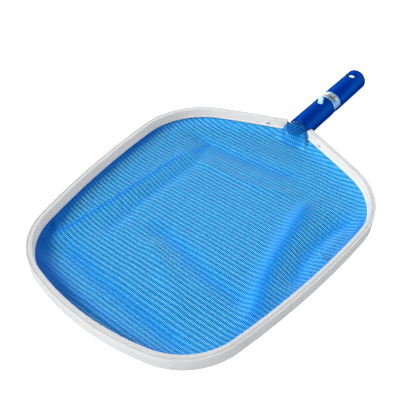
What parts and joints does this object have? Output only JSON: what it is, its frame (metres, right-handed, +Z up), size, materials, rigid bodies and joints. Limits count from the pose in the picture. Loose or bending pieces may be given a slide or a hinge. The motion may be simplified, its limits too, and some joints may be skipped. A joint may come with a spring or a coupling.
{
  "type": "leaf skimmer net",
  "caption": "Flat leaf skimmer for a pool: a bent hoop holds a shallow net, on a hollow handle that plugs into a telescopic pole and locks with a sprung double-button clip.",
  "frame": {"origin": "middle of the base of the bounding box, under the handle's axis", "axes": "+Y along the handle, from the hoop's front edge to the handle's open end; +Z up, with the hoop level; +X to the right"},
  "size_m": [0.3002, 0.5136, 0.0425],
  "materials": {
    "hoop": "white powder coat, satin, on an aluminium extrusion",
    "spline": "soft white extruded cord",
    "net": "fine woven nylon net, sky blue, slightly shiny threads",
    "handle": "deep blue moulded plastic, semi-gloss",
    "yoke": "deep blue moulded plastic",
    "clip": "pale blue-white nylon, slightly translucent",
    "rivet": "plain, dull",
    "label": "printed silver foil, with a plain wave pattern"
  },
  "bodies": {
    "skimmer": {"frame_hoop": "hoop", "net_spline": "spline", "net_mesh": "net", "net_tongue": "net", "rivet_right": "rivet", "rivet_left": "rivet", "yoke": "yoke", "handle_tube": "handle", "label_sticker": "label", "clip_bend": "clip", "clip_leg_top": "clip", "clip_leg_bottom": "clip"},
    "button_top": {"snap_button_top": "clip"},
    "button_bottom": {"snap_button_bottom": "clip"}
  },
  "joints": [
    {"name": "press_top", "type": "slide", "parent": "skimmer", "child": "button_top", "axis": [0, 0, -1], "range_m": [0, 0.007], "stiffness_N_per_m": 2000, "deforming": ["clip_leg_top"]},
    {"name": "press_bottom", "type": "slide", "parent": "skimmer", "child": "button_bottom", "axis": [0, 0, 1], "range_m": [0, 0.007], "stiffness_N_per_m": 2000, "deforming": ["clip_leg_bottom"]}
  ]
}
